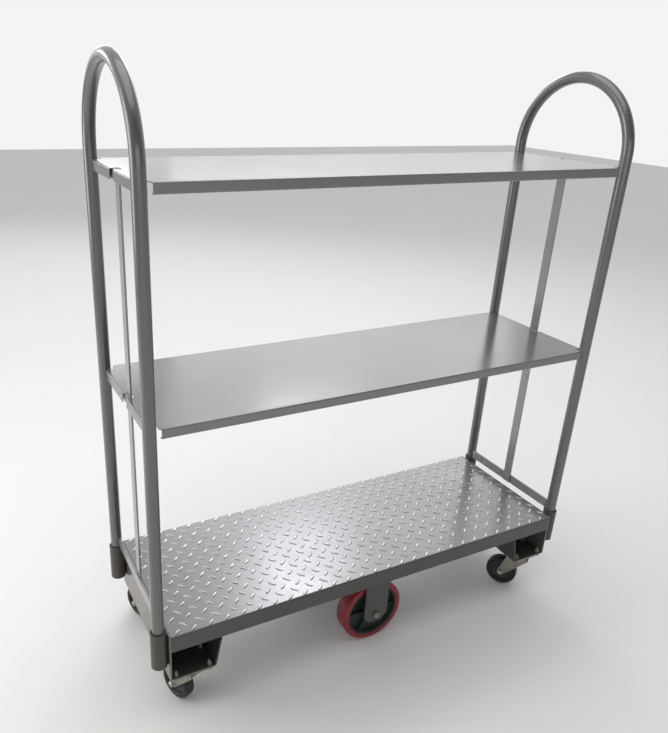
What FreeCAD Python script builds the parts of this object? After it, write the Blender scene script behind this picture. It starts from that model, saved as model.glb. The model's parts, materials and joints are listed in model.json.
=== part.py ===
import FreeCAD, Part
import math
import os
import Sketcher

# Six-wheel platform trolley: tread-plate deck on folded rails, a U-shaped tube handle in sockets
# at each end, two lift-off tray shelves between the handles, four swivel casters at the corners
# and two larger fixed wheels at mid-length.
# Frame: X along the deck, Y across it, Z up, floor at Z = 0, origin under the middle of the deck.

SIZES = {
    # deck
    "deck_length": 1296, "deck_width": 441, "deck_top": 287, "tread_sheet": 3,
    "rail_high": 52, "rail_flange": 20, "rail_wall": 3,
    # ends of the chassis
    "end_wall": 5, "end_low": 141, "mount_height": 143, "channel_wall": 5,
    "channel_foot_x": 528, "channel_head_x": 501, "channel_bend": 4, "rail_gap": 0.5,
    # handles and their sockets
    "upright_x": 674, "upright_y": 197.5, "tube_dia": 31.8, "tube_wall": 2, "arch_base": 1418.5,
    "socket_dia": 42, "socket_bore": 33, "socket_low": 186, "socket_top": 297, "socket_stop": 4,
    # bars between the uprights
    "bar_face_x": 665, "bar_wall": 5, "low_bar_z": 298, "low_bar_high": 30, "shelf_bar_high": 22,
    "strip_wide": 30, "strip_wall": 5, "strip_low": 300, "strip_top": 1376,
    # tray shelves
    "middle_top": 862.5, "upper_top": 1393.5, "shelf_sheet": 1.5, "shelf_end_x": 676,
    "shelf_side_y": 205, "lip_high": 24, "lip_end_x": 648, "hem_wide": 10, "notch_x": 653,
    "notch_y": 182, "tongue_y": 178, "corner_clip": 8, "slot_wide": 33, "slot_x": 655,
    "relief_dia": 5, "bend_outer": 1.35,
    # casters
    "caster_x": 589, "caster_y": 178, "trail": 45, "caster_radius": 50.8, "caster_tyre_wide": 32,
    "caster_core_radius": 38, "caster_rim_wall": 4, "caster_web": 7, "caster_hub_radius": 14,
    "caster_hub_wide": 35.6, "rim_inset": 2,
    "tyre_shoulder": 5, "tyre_crown": 1.25, "tyre_round": 12,
    "plate_long": 114, "plate_wide": 84, "plate_wall": 5, "bolt_pitch_x": 92, "bolt_pitch_y": 66,
    "race_radius": 29, "race_gap": 0.8, "kingpin_dia": 12, "kingpin_bore": 12.1,
    "kingpin_low": 119, "rivet_radius": 10, "rivet_gap": 0.4, "rivet_high": 4,
    "crown_low": 126, "crown_wall": 4, "crown_back": 36, "crown_front": 32,
    "fork_inside": 36, "fork_wall": 3.5, "boss_radius": 12, "arm_back": 8.9, "arm_drop": 8.1,
    "axle_dia": 10, "axle_bore": 10.1, "axle_flats": 15, "axle_head": 6.5, "axle_nut": 8,
    "thread_end": 1,
    "bolt_dia": 8, "bolt_hole": 8.6, "bolt_flats": 13, "bolt_head": 5, "nut_high": 6.5,
    "bolt_tail": 9,
    # middle wheels and the plates that carry them
    "middle_y": 156.5, "middle_radius": 102, "middle_tyre_wide": 50, "middle_core_radius": 86,
    "middle_rim_wall": 7, "middle_web": 8, "middle_hub_radius": 27, "middle_hub_wide": 66,
    "rib_wall": 6, "rib_deep": 17, "rib_root": 1,
    "hanger_gap": 67, "hanger_wall": 6, "hanger_wide": 80, "hanger_low": 76, "hanger_clip": 20,
    "middle_axle_dia": 12.7, "middle_axle_bore": 12.8, "middle_flats": 19, "middle_head": 8,
    "middle_nut": 10,
}
RIB_COUNT = 6
SIDES = {"front": -1, "rear": 1}
ENDS = {"left": -1, "right": 1}
# Each caster: end, side, and the direction that its wheel trails in, in degrees from +X.
CASTERS = {
    "left_front": (-1, -1, 110), "right_front": (1, -1, 124),
    "left_rear": (-1, 1, 112), "right_rear": (1, 1, 118),
}

doc = FreeCAD.newDocument("platform_trolley")
dims = doc.addObject("Spreadsheet::Sheet", "dims")
for row, (alias, value) in enumerate(SIZES.items(), start=1):
    dims.set("A%d" % row, alias)
    dims.set("B%d" % row, str(value))
    dims.setAlias("B%d" % row, alias)
doc.recompute()

subparts = []


def words(expression):
    """Expression with every size name given its place in the sheet."""
    out, word = "", ""
    for letter in expression + " ":
        if letter.isalnum() or letter in "_.":
            word += letter
            continue
        out += ("dims." + word if word in SIZES else word) + letter
        word = ""
    return out.strip()


def number(expression):
    """Present value of an expression of size names."""
    value = dims.evalExpression(words(str(expression)))
    return float(getattr(value, "Value", value))


def bind(thing, **properties):
    for name, expression in properties.items():
        thing.setExpression(name.replace("__", "."), words(str(expression)))


def turned(degrees, axis=(0, 0, 1)):
    return FreeCAD.Rotation(FreeCAD.Vector(*axis), degrees)


def at(thing, x="0", y="0", z="0", spin=FreeCAD.Rotation()):
    """Put a thing at x, y, z, turned by a rotation."""
    thing.Placement = FreeCAD.Placement(FreeCAD.Vector(number(x), number(y), number(z)), spin)
    bind(thing, Placement__Base__x=x, Placement__Base__y=y, Placement__Base__z=z)
    return thing


def subpart(thing, label):
    thing.Label = label
    subparts.append(thing)
    return thing


# ---- sketched pieces ----

def new_body(name):
    return doc.addObject("PartDesign::Body", name)


def sketch_on(body, plane, offset="0"):
    """Sketch on one of the body's own origin planes, moved along the plane's normal."""
    sketch = body.newObject("Sketcher::SketchObject", "sketch")
    origin_plane = [item for item in body.Origin.OriginFeatures if item.Role == plane][0]
    sketch.AttachmentSupport = [(origin_plane, "")]
    sketch.MapMode = "FlatFace"
    bind(sketch, AttachmentOffset__Base__z=offset)
    return sketch


def measure(sketch, kind, geometry, point, expression):
    """Distance of one point of the sketch from its origin, bound to the sheet."""
    constraint = Sketcher.Constraint(kind, -1, 1, geometry, point, number(expression))
    index = sketch.addConstraint(constraint)
    sketch.setExpression("Constraints[%d]" % index, words(str(expression)))


def pin(sketch, geometry, point, x, y):
    measure(sketch, "DistanceX", geometry, point, x)
    measure(sketch, "DistanceY", geometry, point, y)


def polygon(sketch, corners):
    """Closed outline through corners, each a pair of expressions."""
    spots = [FreeCAD.Vector(number(x), number(y), 0) for x, y in corners]
    first = sketch.GeometryCount
    count = len(corners)
    for i in range(count):
        sketch.addGeometry(Part.LineSegment(spots[i], spots[(i + 1) % count]))
    for i in range(count):
        following = first + (i + 1) % count
        sketch.addConstraint(Sketcher.Constraint("Coincident", first + i, 2, following, 1))
        pin(sketch, first + i, 1, *corners[i])


def rectangle(sketch, x0, y0, x1, y1):
    polygon(sketch, [(x0, y0), (x1, y0), (x1, y1), (x0, y1)])


def circle(sketch, x, y, radius):
    centre = FreeCAD.Vector(number(x), number(y), 0)
    up = FreeCAD.Vector(0, 0, 1)
    index = sketch.addGeometry(Part.Circle(centre, up, number(radius)))
    pin(sketch, index, 3, x, y)
    size = sketch.addConstraint(Sketcher.Constraint("Radius", index, number(radius)))
    sketch.setExpression("Constraints[%d]" % size, words(str(radius)))


def pad(body, sketch, length):
    feature = body.newObject("PartDesign::Pad", "pad")
    feature.Profile = sketch
    bind(feature, Length=length)
    body.Tip = feature
    return feature


def pocket(body, sketch, length):
    feature = body.newObject("PartDesign::Pocket", "pocket")
    feature.Profile = sketch
    bind(feature, Length=length)
    body.Tip = feature
    return feature


def revolve(body, sketch):
    feature = body.newObject("PartDesign::Revolution", "revolution")
    feature.Profile = sketch
    feature.ReferenceAxis = (sketch, ["V_Axis"])
    feature.Angle = 360
    body.Tip = feature
    return feature


# ---- primitive pieces ----

def box(name, length, width, height, x, y, z):
    thing = doc.addObject("Part::Box", name)
    bind(thing, Length=length, Width=width, Height=height)
    return at(thing, x, y, z)


def cylinder(name, radius, height, x="0", y="0", z="0"):
    thing = doc.addObject("Part::Cylinder", name)
    bind(thing, Radius=radius, Height=height)
    return at(thing, x, y, z)


def hexagon(name, flats, height, x="0", y="0", z="0"):
    """Six-sided prism, sized across its flats."""
    thing = doc.addObject("Part::Prism", name)
    thing.Polygon = 6
    bind(thing, Circumradius="%s / sqrt(3)" % flats, Height=height)
    return at(thing, x, y, z)


def cut(name, base, *tools):
    for tool in tools:
        result = doc.addObject("Part::Cut", name + "_cut")
        result.Base, result.Tool = base, tool
        base = result
    return base


def fuse(name, *pieces):
    result = doc.addObject("Part::MultiFuse", name)
    result.Shapes = list(pieces)
    return result


def together(name, pieces):
    """Separate solids of one kind, kept in one sub-part."""
    result = doc.addObject("Part::Compound", name + "_set")
    result.Links = list(pieces)
    return result


# ---- deck ----

def deck_plate():
    body = new_body("deck_plate")
    sketch = sketch_on(body, "XY_Plane", "deck_top - tread_sheet")
    rectangle(sketch, "-deck_length / 2", "-deck_width / 2", "deck_length / 2", "deck_width / 2")
    pad(body, sketch, "tread_sheet")
    subpart(body, "deck_plate")


def side_rail(side, sign):
    """Folded channel under one long edge of the deck, open towards the middle."""
    body = new_body("side_rail_" + side)
    sketch = sketch_on(body, "YZ_Plane", "-deck_length / 2")
    face, web = "deck_width / 2", "deck_width / 2 - rail_wall"
    edge = "deck_width / 2 - rail_flange"
    top, low = "deck_top - tread_sheet", "deck_top - tread_sheet - rail_high"
    inner_top, inner_low = top + " - rail_wall", low + " + rail_wall"
    corners = [(edge, low), (face, low), (face, top), (edge, top),
               (edge, inner_top), (web, inner_top), (web, inner_low), (edge, inner_low)]
    polygon(sketch, [("%d * (%s)" % (sign, y), z) for y, z in corners])
    pad(body, sketch, "deck_length")
    subpart(body, "side_rail_" + side)


# ---- ends: each is made for the right-hand end and turned half round for the left ----

def end_turn(sign):
    return turned(0 if sign > 0 else 180)


def end_plate(end, sign):
    body = new_body("end_plate_" + end)
    sketch = sketch_on(body, "YZ_Plane", "deck_length / 2")
    rectangle(sketch, "-deck_width / 2", "end_low", "deck_width / 2", "deck_top")
    pad(body, sketch, "end_wall")
    subpart(at(body, spin=end_turn(sign)), "end_plate_" + end)


def caster_channel(end, sign):
    """Bent plate under one end: a flat foot for the casters and a leaning inner wall."""
    body = new_body("caster_channel_" + end)
    sketch = sketch_on(body, "XZ_Plane", "-deck_width / 2")
    head, foot, tip = "channel_head_x", "channel_foot_x", "deck_length / 2"
    low, high = "mount_height", "deck_top - tread_sheet"
    polygon(sketch, [(tip, low), (foot, low), (head, high), (head + " + channel_wall", high),
                     (foot + " + channel_bend", low + " + channel_wall"),
                     (tip, low + " + channel_wall")])
    pad(body, sketch, "deck_width")
    # the inner wall is narrowed above the rails' undersides, so that it passes between them
    rails = sketch_on(body, "YZ_Plane", "deck_length / 2 + end_wall")
    edge = "deck_width / 2 - rail_flange - rail_gap"
    rail_low = "deck_top - tread_sheet - rail_high"
    rectangle(rails, edge, rail_low, "deck_width", "deck_top")
    rectangle(rails, "-(%s)" % edge, rail_low, "-deck_width", "deck_top")
    pocket(body, rails, "deck_length / 2")
    # holes for the caster bolts
    holes = sketch_on(body, "XY_Plane", "mount_height + channel_wall")
    for x in ("caster_x - bolt_pitch_x / 2", "caster_x + bolt_pitch_x / 2"):
        for side in (-1, 1):
            for bolt in (-1, 1):
                circle(holes, x, "%d * caster_y + %d * bolt_pitch_y / 2" % (side, bolt),
                       "bolt_hole / 2")
    pocket(body, holes, "channel_wall")
    subpart(at(body, spin=end_turn(sign)), "caster_channel_" + end)


def socket(end, side, x_sign, y_sign):
    """Round socket with a floor, flattened where it is welded to the end plate."""
    name = "socket_%s_%s" % (end, side)
    outer = cylinder(name + "_outer", "socket_dia / 2", "socket_top - socket_low")
    bore = cylinder(name + "_bore", "socket_bore / 2", "socket_top - socket_low",
                    z="socket_stop")
    flat = box(name + "_flat", "socket_dia", "socket_dia", "socket_top - socket_low",
               "deck_length / 2 + end_wall - upright_x - socket_dia", "-socket_dia / 2", "0")
    piece = cut(name, outer, bore, flat)
    at(piece, "%d * upright_x" % x_sign, "%d * upright_y" % y_sign, "socket_low",
       spin=end_turn(x_sign))
    subpart(piece, name)


def handle(end, sign):
    """Tube bent to an inverted U, standing on the floors of its two sockets."""
    body = new_body("handle_" + end)
    foot, leg = "upright_y", "arch_base - socket_low - socket_stop"
    path = sketch_on(body, "YZ_Plane")
    half, height = number(foot), number(leg)
    up, over = FreeCAD.Vector(0, 0, 1), FreeCAD.Vector(0, height, 0)
    path.addGeometry(Part.LineSegment(FreeCAD.Vector(-half, 0, 0),
                                      FreeCAD.Vector(-half, height, 0)))
    path.addGeometry(Part.ArcOfCircle(Part.Circle(over, up, half), 0, math.pi))
    path.addGeometry(Part.LineSegment(FreeCAD.Vector(half, height, 0),
                                      FreeCAD.Vector(half, 0, 0)))
    path.addConstraint(Sketcher.Constraint("Coincident", 0, 2, 1, 2))
    path.addConstraint(Sketcher.Constraint("Coincident", 1, 1, 2, 1))
    pin(path, 0, 1, "-" + foot, "0")
    pin(path, 0, 2, "-" + foot, leg)
    pin(path, 2, 1, foot, leg)
    pin(path, 2, 2, foot, "0")
    measure(path, "DistanceY", 1, 3, leg)
    for kind, radius in (("AdditivePipe", "tube_dia / 2"),
                         ("SubtractivePipe", "tube_dia / 2 - tube_wall")):
        ring = sketch_on(body, "XY_Plane")
        circle(ring, "0", "-" + foot, radius)
        pipe = body.newObject("PartDesign::" + kind, "pipe")
        pipe.Profile = ring
        pipe.Spine = (path, ["Edge1", "Edge2", "Edge3"])
        body.Tip = pipe
    at(body, "%d * upright_x" % sign, "0", "socket_low + socket_stop")
    subpart(body, "handle_" + end)


def crossbar(level, end, sign, low, high):
    """Flat bar welded between the two uprights of one end, coped to the tubes."""
    name = "crossbar_%s_%s" % (level, end)
    bar = box(name + "_bar", "bar_wall", "2 * upright_y", high, "bar_face_x", "-upright_y", low)
    cope_a, cope_b = [cylinder(name + "_cope", "tube_dia / 2", high, "upright_x",
                               "%d * upright_y" % y, low) for y in (-1, 1)]
    subpart(at(cut(name, bar, cope_a, cope_b), spin=end_turn(sign)), name)


def centre_strip(end, sign):
    """Upright flat strip on the inner faces of the crossbars."""
    name = "centre_strip_" + end
    inner_face = "bar_face_x - strip_wall" if sign > 0 else "-bar_face_x"
    strip = box(name, "strip_wall", "strip_wide", "strip_top - strip_low",
                inner_face, "-strip_wide / 2", "strip_low")
    subpart(strip, name)


# ---- shelves ----

def shelf(name, top):
    """Sheet tray: folded lips with a hem along the sides, a slotted flange at each end."""
    body = new_body(name)
    sheet = sketch_on(body, "XY_Plane", "-shelf_sheet")
    quarter = [("lip_end_x", "shelf_side_y"), ("notch_x", "shelf_side_y - corner_clip"),
               ("notch_x", "notch_y"), ("notch_x + corner_clip / 2", "tongue_y"),
               ("shelf_end_x", "tongue_y")]
    corners = []
    for x_sign, y_sign in ((1, 1), (1, -1), (-1, -1), (-1, 1)):
        some = quarter if x_sign == y_sign else quarter[::-1]
        corners += [("%d * (%s)" % (x_sign, x), "%d * (%s)" % (y_sign, y)) for x, y in some]
    polygon(sheet, corners)
    pad(body, sheet, "shelf_sheet")
    for sign in (-1, 1):
        lip = sketch_on(body, "YZ_Plane", "-lip_end_x")
        side = [("shelf_side_y", "0"), ("shelf_side_y", "-lip_high"),
                ("shelf_side_y - hem_wide", "-lip_high"),
                ("shelf_side_y - hem_wide", "-lip_high + shelf_sheet"),
                ("shelf_side_y - shelf_sheet", "-lip_high + shelf_sheet"),
                ("shelf_side_y - shelf_sheet", "0")]
        polygon(lip, [("%d * (%s)" % (sign, y), z) for y, z in side])
        pad(body, lip, "2 * lip_end_x")
    for sign in (-1, 1):
        flange = sketch_on(body, "XZ_Plane", "-tongue_y")
        rectangle(flange, "%d * (shelf_end_x - shelf_sheet)" % sign, "-lip_high",
                  "%d * shelf_end_x" % sign, "0")
        pad(body, flange, "2 * tongue_y")
    slots = sketch_on(body, "XY_Plane")
    for sign in (-1, 1):
        rectangle(slots, "%d * slot_x" % sign, "-slot_wide / 2",
                  "%d * (shelf_end_x + shelf_sheet)" % sign, "slot_wide / 2")
        for side in (-1, 1):
            circle(slots, "%d * notch_x" % sign, "%d * notch_y" % side, "relief_dia / 2")
    pocket(body, slots, "lip_high + shelf_sheet")
    doc.recompute()
    # round the outside of the four folds
    sharp = body.Tip
    folds = []
    for i, edge in enumerate(sharp.Shape.Edges, start=1):
        span = edge.BoundBox
        at_top = abs(span.ZMin) < 0.01 and abs(span.ZMax) < 0.01
        side_fold = abs(abs(span.Center.y) - number("shelf_side_y")) < 0.01
        end_fold = abs(abs(span.Center.x) - number("shelf_end_x")) < 0.01
        if at_top and (side_fold or end_fold):
            folds.append("Edge%d" % i)
    bend = body.newObject("PartDesign::Fillet", "bend")
    bend.Base = (sharp, folds)
    bind(bend, Radius="bend_outer")
    body.Tip = bend
    subpart(at(body, z=top), name)


# ---- casters: each is made with its wheel trailing along +X and then turned ----

def at_caster(thing, x_sign, y_sign, turn=0):
    return at(thing, "%d * caster_x" % x_sign, "%d * caster_y" % y_sign, spin=turned(turn))


def caster_plate(name, x_sign, y_sign):
    """Bolted top plate with its upper ball race and the kingpin that carries the fork."""
    body = new_body("caster_plate_" + name)
    sketch = sketch_on(body, "XY_Plane", "mount_height - plate_wall")
    rectangle(sketch, "-plate_long / 2", "-plate_wide / 2", "plate_long / 2", "plate_wide / 2")
    for x in (-1, 1):
        for y in (-1, 1):
            circle(sketch, "%d * bolt_pitch_x / 2" % x, "%d * bolt_pitch_y / 2" % y,
                   "bolt_hole / 2")
    pad(body, sketch, "plate_wall")
    race = sketch_on(body, "XY_Plane", "crown_low + crown_wall + race_gap")
    circle(race, "0", "0", "race_radius")
    pad(body, race, "mount_height - plate_wall - crown_low - crown_wall - race_gap")
    pin_sketch = sketch_on(body, "XY_Plane", "kingpin_low")
    circle(pin_sketch, "0", "0", "kingpin_dia / 2")
    pad(body, pin_sketch, "mount_height - plate_wall - kingpin_low")
    rivet = sketch_on(body, "XY_Plane", "crown_low - rivet_gap - rivet_high")
    circle(rivet, "0", "0", "rivet_radius")
    pad(body, rivet, "rivet_high")
    subpart(at_caster(body, x_sign, y_sign), "caster_plate_" + name)


def caster_fork(name, x_sign, y_sign, turn):
    """Pressed fork: a crown under the ball race and two arms that reach back to the axle."""
    body = new_body("caster_fork_" + name)
    outer = "fork_inside / 2 + fork_wall"
    crown = sketch_on(body, "XY_Plane", "crown_low")
    rectangle(crown, "-crown_back", "-(%s)" % outer, "crown_front", outer)
    pad(body, crown, "crown_wall")
    low_race = sketch_on(body, "XY_Plane", "crown_low")
    circle(low_race, "0", "0", "race_radius")
    pad(body, low_race, "crown_wall")
    for offset in ("-(%s)" % outer, "fork_inside / 2"):
        arm = sketch_on(body, "XZ_Plane", offset)
        polygon(arm, [("-crown_back", "crown_low + crown_wall"),
                      ("crown_front", "crown_low + crown_wall"),
                      ("crown_front", "crown_low - crown_wall"),
                      ("trail + boss_radius", "caster_radius"),
                      ("trail - arm_back", "caster_radius - arm_drop"),
                      ("-crown_back", "crown_low - crown_wall")])
        pad(body, arm, "fork_wall")
        boss = sketch_on(body, "XZ_Plane", offset)
        circle(boss, "trail", "caster_radius", "boss_radius")
        pad(body, boss, "fork_wall")
    bore = sketch_on(body, "XY_Plane", "crown_low + crown_wall")
    circle(bore, "0", "0", "kingpin_bore / 2")
    pocket(body, bore, "crown_wall")
    axle = sketch_on(body, "XZ_Plane", "fork_inside")
    circle(axle, "trail", "caster_radius", "axle_dia / 2")
    pocket(body, axle, "2 * fork_inside")
    subpart(at_caster(body, x_sign, y_sign, turn), "caster_fork_" + name)


def axle_set(name, shank, flats, head, nut, grip):
    """Axle bolt and nut along local Z, with the head's seat at the origin."""
    length = "%s + %s" % (grip, nut)
    bolt = fuse(name + "_bolt",
                cylinder(name + "_shank", "%s / 2" % shank, "%s + thread_end" % length),
                hexagon(name + "_head", flats, head, z="-(%s)" % head))
    bore = cylinder(name + "_bore", "%s / 2" % shank, nut, z=grip)
    ring = cut(name + "_nut", hexagon(name + "_hex", flats, nut, z=grip), bore)
    return together(name, [bolt, ring])


def at_wheel(thing, x_sign, y_sign, turn, aside="0", lay=0):
    """Put a piece on a caster's axle, behind the swivel axis and aside along the axle."""
    cosine, sine = "cos(%d deg)" % turn, "sin(%d deg)" % turn
    return at(thing, "%d * caster_x + trail * %s - (%s) * %s" % (x_sign, cosine, aside, sine),
              "%d * caster_y + trail * %s + (%s) * %s" % (y_sign, sine, aside, cosine),
              "caster_radius", turned(turn) * turned(lay, (1, 0, 0)))


def wheel_core(name, radius, rim, web, hub, hub_wide, bore, rim_wide):
    """Turned wheel core: hub, web and rim about local Y."""
    body = new_body(name)
    sketch = sketch_on(body, "XY_Plane")
    inner_rim = "%s - %s" % (radius, rim)
    half = [(bore, hub_wide), (hub, hub_wide), (hub, web), (inner_rim, web),
            (inner_rim, rim_wide), (radius, rim_wide)]
    upper = [(r, "(%s) / 2" % y) for r, y in half]
    lower = [(r, "-(%s) / 2" % y) for r, y in half[::-1]]
    polygon(sketch, upper + lower)
    revolve(body, sketch)
    return body


def tyre(name, outer, inner, width):
    """Tyre ring about local Y with sloped shoulders."""
    body = new_body(name)
    sketch = sketch_on(body, "XY_Plane")
    half = [(inner, width), (outer + " - tyre_shoulder", width),
            (outer + " - tyre_crown", width + " - tyre_shoulder"),
            (outer, width + " - tyre_round")]
    upper = [(r, "(%s) / 2" % y) for r, y in half]
    lower = [(r, "-(%s) / 2" % y) for r, y in half[::-1]]
    polygon(sketch, upper + lower)
    revolve(body, sketch)
    return body


def caster(name, x_sign, y_sign, turn):
    caster_plate(name, x_sign, y_sign)
    caster_fork(name, x_sign, y_sign, turn)
    axle = axle_set("caster_axle_" + name, "axle_dia", "axle_flats", "axle_head", "axle_nut",
                    "fork_inside + 2 * fork_wall")
    at_wheel(axle, x_sign, y_sign, turn, aside="-(fork_inside / 2 + fork_wall)", lay=-90)
    subpart(axle, "caster_axle_" + name)
    core = wheel_core("caster_core_" + name, "caster_core_radius", "caster_rim_wall",
                      "caster_web", "caster_hub_radius", "caster_hub_wide", "axle_bore / 2",
                      "caster_tyre_wide - 2 * rim_inset")
    subpart(at_wheel(core, x_sign, y_sign, turn), "caster_core_" + name)
    ring = tyre("caster_tyre_" + name, "caster_radius", "caster_core_radius",
                "caster_tyre_wide")
    subpart(at_wheel(ring, x_sign, y_sign, turn), "caster_tyre_" + name)


def caster_fasteners():
    """Four bolts and nuts through each caster plate and the channel foot above it."""
    bolts, nuts = [], []
    plate_low = "mount_height - plate_wall"
    plate_top = "mount_height + channel_wall"
    length = "plate_wall + channel_wall + nut_high + bolt_tail"
    for x_sign, y_sign, _ in CASTERS.values():
        for bolt_x in (-1, 1):
            for bolt_y in (-1, 1):
                x = "%d * caster_x + %d * bolt_pitch_x / 2" % (x_sign, bolt_x)
                y = "%d * caster_y + %d * bolt_pitch_y / 2" % (y_sign, bolt_y)
                shank = cylinder("shank", "bolt_dia / 2", length, x, y, plate_low)
                head = hexagon("head", "bolt_flats", "bolt_head", x, y, plate_low + " - bolt_head")
                bolts.append(fuse("bolt", shank, head))
                hexed = hexagon("nut", "bolt_flats", "nut_high", x, y, plate_top)
                bore = cylinder("bore", "bolt_dia / 2", "nut_high", x, y, plate_top)
                nuts.append(cut("nut", hexed, bore))
    subpart(together("caster_bolts", bolts), "caster_bolts")
    subpart(together("caster_nuts", nuts), "caster_nuts")


# ---- middle wheels ----

def hanger(side, sign, place, offset):
    """Clipped-corner plate that hangs from the deck beside a middle wheel."""
    name = "wheel_hanger_%s_%s" % (side, place)
    body = new_body(name)
    sketch = sketch_on(body, "XZ_Plane", offset)
    half, low, top = "hanger_wide / 2", "hanger_low", "deck_top - tread_sheet"
    polygon(sketch, [("-" + half, top), ("-" + half, low + " + hanger_clip"),
                     ("-%s + hanger_clip" % half, low), (half + " - hanger_clip", low),
                     (half, low + " + hanger_clip"), (half, top)])
    circle(sketch, "0", "middle_radius", "middle_axle_dia / 2")
    pad(body, sketch, "hanger_wall")
    subpart(at(body, spin=turned(0 if sign < 0 else 180)), name)


def middle_wheel(side, sign):
    for place, offset in (("outer", "middle_y + hanger_gap / 2"),
                          ("inner", "middle_y - hanger_gap / 2 - hanger_wall")):
        hanger(side, sign, place, offset)
    core = wheel_core("middle_core_" + side, "middle_core_radius", "middle_rim_wall",
                      "middle_web", "middle_hub_radius", "middle_hub_wide",
                      "middle_axle_bore / 2", "middle_tyre_wide - 2 * rim_inset")
    rib = sketch_on(core, "XY_Plane", "-rib_wall / 2")
    for y in (-1, 1):
        rectangle(rib, "middle_hub_radius - rib_root", "%d * rib_root" % y,
                  "middle_core_radius - middle_rim_wall + rib_root", "%d * rib_deep" % y)
    rib_pad = pad(core, rib, "rib_wall")
    ribs = core.newObject("PartDesign::PolarPattern", "ribs")
    ribs.Originals = [rib_pad]
    ribs.Axis = (rib, ["V_Axis"])
    ribs.Angle = 360
    ribs.Occurrences = RIB_COUNT
    core.Tip = ribs
    y = "%d * middle_y" % sign
    subpart(at(core, "0", y, "middle_radius"), "middle_core_" + side)
    ring = tyre("middle_tyre_" + side, "middle_radius", "middle_core_radius",
                "middle_tyre_wide")
    subpart(at(ring, "0", y, "middle_radius"), "middle_tyre_" + side)
    grip = "hanger_gap + 2 * hanger_wall"
    axle = axle_set("middle_axle_" + side, "middle_axle_dia", "middle_flats", "middle_head",
                    "middle_nut", grip)
    # the bolt's head is on the outer face
    at(axle, "0", "%d * (middle_y + hanger_gap / 2 + hanger_wall)" % sign, "middle_radius",
       spin=turned(90 * sign, (1, 0, 0)))
    subpart(axle, "middle_axle_" + side)


def build():
    deck_plate()
    for side, sign in SIDES.items():
        side_rail(side, sign)
        middle_wheel(side, sign)
    for end, sign in ENDS.items():
        end_plate(end, sign)
        caster_channel(end, sign)
        handle(end, sign)
        centre_strip(end, sign)
        crossbar("low", end, sign, "low_bar_z", "low_bar_high")
        for level, top in (("middle", "middle_top"), ("upper", "upper_top")):
            crossbar(level, end, sign, top + " - shelf_sheet - shelf_bar_high", "shelf_bar_high")
        for side, y_sign in SIDES.items():
            socket(end, side, sign, y_sign)
    shelf("shelf_middle", "middle_top")
    shelf("shelf_upper", "upper_top")
    for name, (x_sign, y_sign, turn) in CASTERS.items():
        caster(name, x_sign, y_sign, turn)
    caster_fasteners()
    doc.recompute()


def check():
    for thing in doc.Objects:
        if "Invalid" in thing.State or "Error" in thing.State:
            raise RuntimeError("failed object: %s %s" % (thing.Name, thing.State))
    for piece in subparts:
        if piece.Shape.isNull() or not piece.Shape.isValid() or piece.Shape.Volume <= 0:
            raise RuntimeError("bad shape: " + piece.Label)


def export():
    os.makedirs("parts", exist_ok=True)
    for piece in subparts:
        piece.Shape.exportStep("parts/%s.step" % piece.Label)
        print("%-26s solids %2d  volume %9.1f mm3" % (piece.Label, len(piece.Shape.Solids),
                                                     piece.Shape.Volume))
    print(len(subparts), "sub-parts")


build()
check()
export()
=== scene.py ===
import json
import math
import random

import bmesh
import bpy
from mathutils import Matrix, Vector


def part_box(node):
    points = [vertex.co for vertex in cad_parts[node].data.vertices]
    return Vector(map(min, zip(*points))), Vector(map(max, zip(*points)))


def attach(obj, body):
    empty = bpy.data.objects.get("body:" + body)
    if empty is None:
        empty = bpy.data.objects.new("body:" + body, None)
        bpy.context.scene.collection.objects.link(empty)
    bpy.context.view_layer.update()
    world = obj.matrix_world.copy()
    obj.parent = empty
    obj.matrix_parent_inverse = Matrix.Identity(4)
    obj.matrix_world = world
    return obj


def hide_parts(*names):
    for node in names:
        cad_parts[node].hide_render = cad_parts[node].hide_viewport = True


# Six-wheel platform trolley in painted steel. Lengths are in metres, +Z is up and the floor is at 0.

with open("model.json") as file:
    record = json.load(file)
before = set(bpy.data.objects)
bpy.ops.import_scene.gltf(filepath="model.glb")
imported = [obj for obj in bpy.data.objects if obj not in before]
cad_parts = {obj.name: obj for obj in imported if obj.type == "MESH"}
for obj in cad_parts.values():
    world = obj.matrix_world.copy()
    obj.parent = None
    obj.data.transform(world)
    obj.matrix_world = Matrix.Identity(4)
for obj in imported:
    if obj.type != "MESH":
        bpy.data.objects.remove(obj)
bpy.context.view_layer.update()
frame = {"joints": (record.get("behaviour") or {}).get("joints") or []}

ENDS = {"left": -1, "right": 1}
SIDES = {"front": -1, "rear": 1}
CASTERS = ("left_front", "right_front", "left_rear", "right_rear")

# sizes that several pieces share
FORK_INSIDE, FORK_WALL = 0.036, 0.0035
CASTER_PLATE_WALL, CHANNEL_WALL = 0.005, 0.005
MIDDLE_HUB_LONG, HANGER_WALL = 0.067, 0.006


# ---- outlines and paths ----

def arc(centre, radius, start, end, steps):
    """Points of an arc, with both ends, between two angles in degrees."""
    angles = [math.radians(start + (end - start) * i / steps) for i in range(steps + 1)]
    return [Vector((centre[0] + radius * math.cos(a), centre[1] + radius * math.sin(a)))
            for a in angles]


def circle(radius, steps, centre=(0, 0)):
    """Points once round a circle, without the first one again."""
    return arc(centre, radius, 0, 360, steps)[:-1]


def round_corner(before, corner, after, radius, steps):
    """Arc that takes the place of one corner of a path."""
    into, out = (corner - before).normalized(), (after - corner).normalized()
    turn = into.angle(out)
    if turn < 1e-4 or radius <= 0:
        return [corner]
    inside = (out - into * into.dot(out)).normalized()
    centre = corner - into * radius * math.tan(turn / 2) + inside * radius
    return [centre + radius * (into * math.sin(turn * i / steps) - inside * math.cos(turn * i / steps))
            for i in range(steps + 1)]


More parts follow.
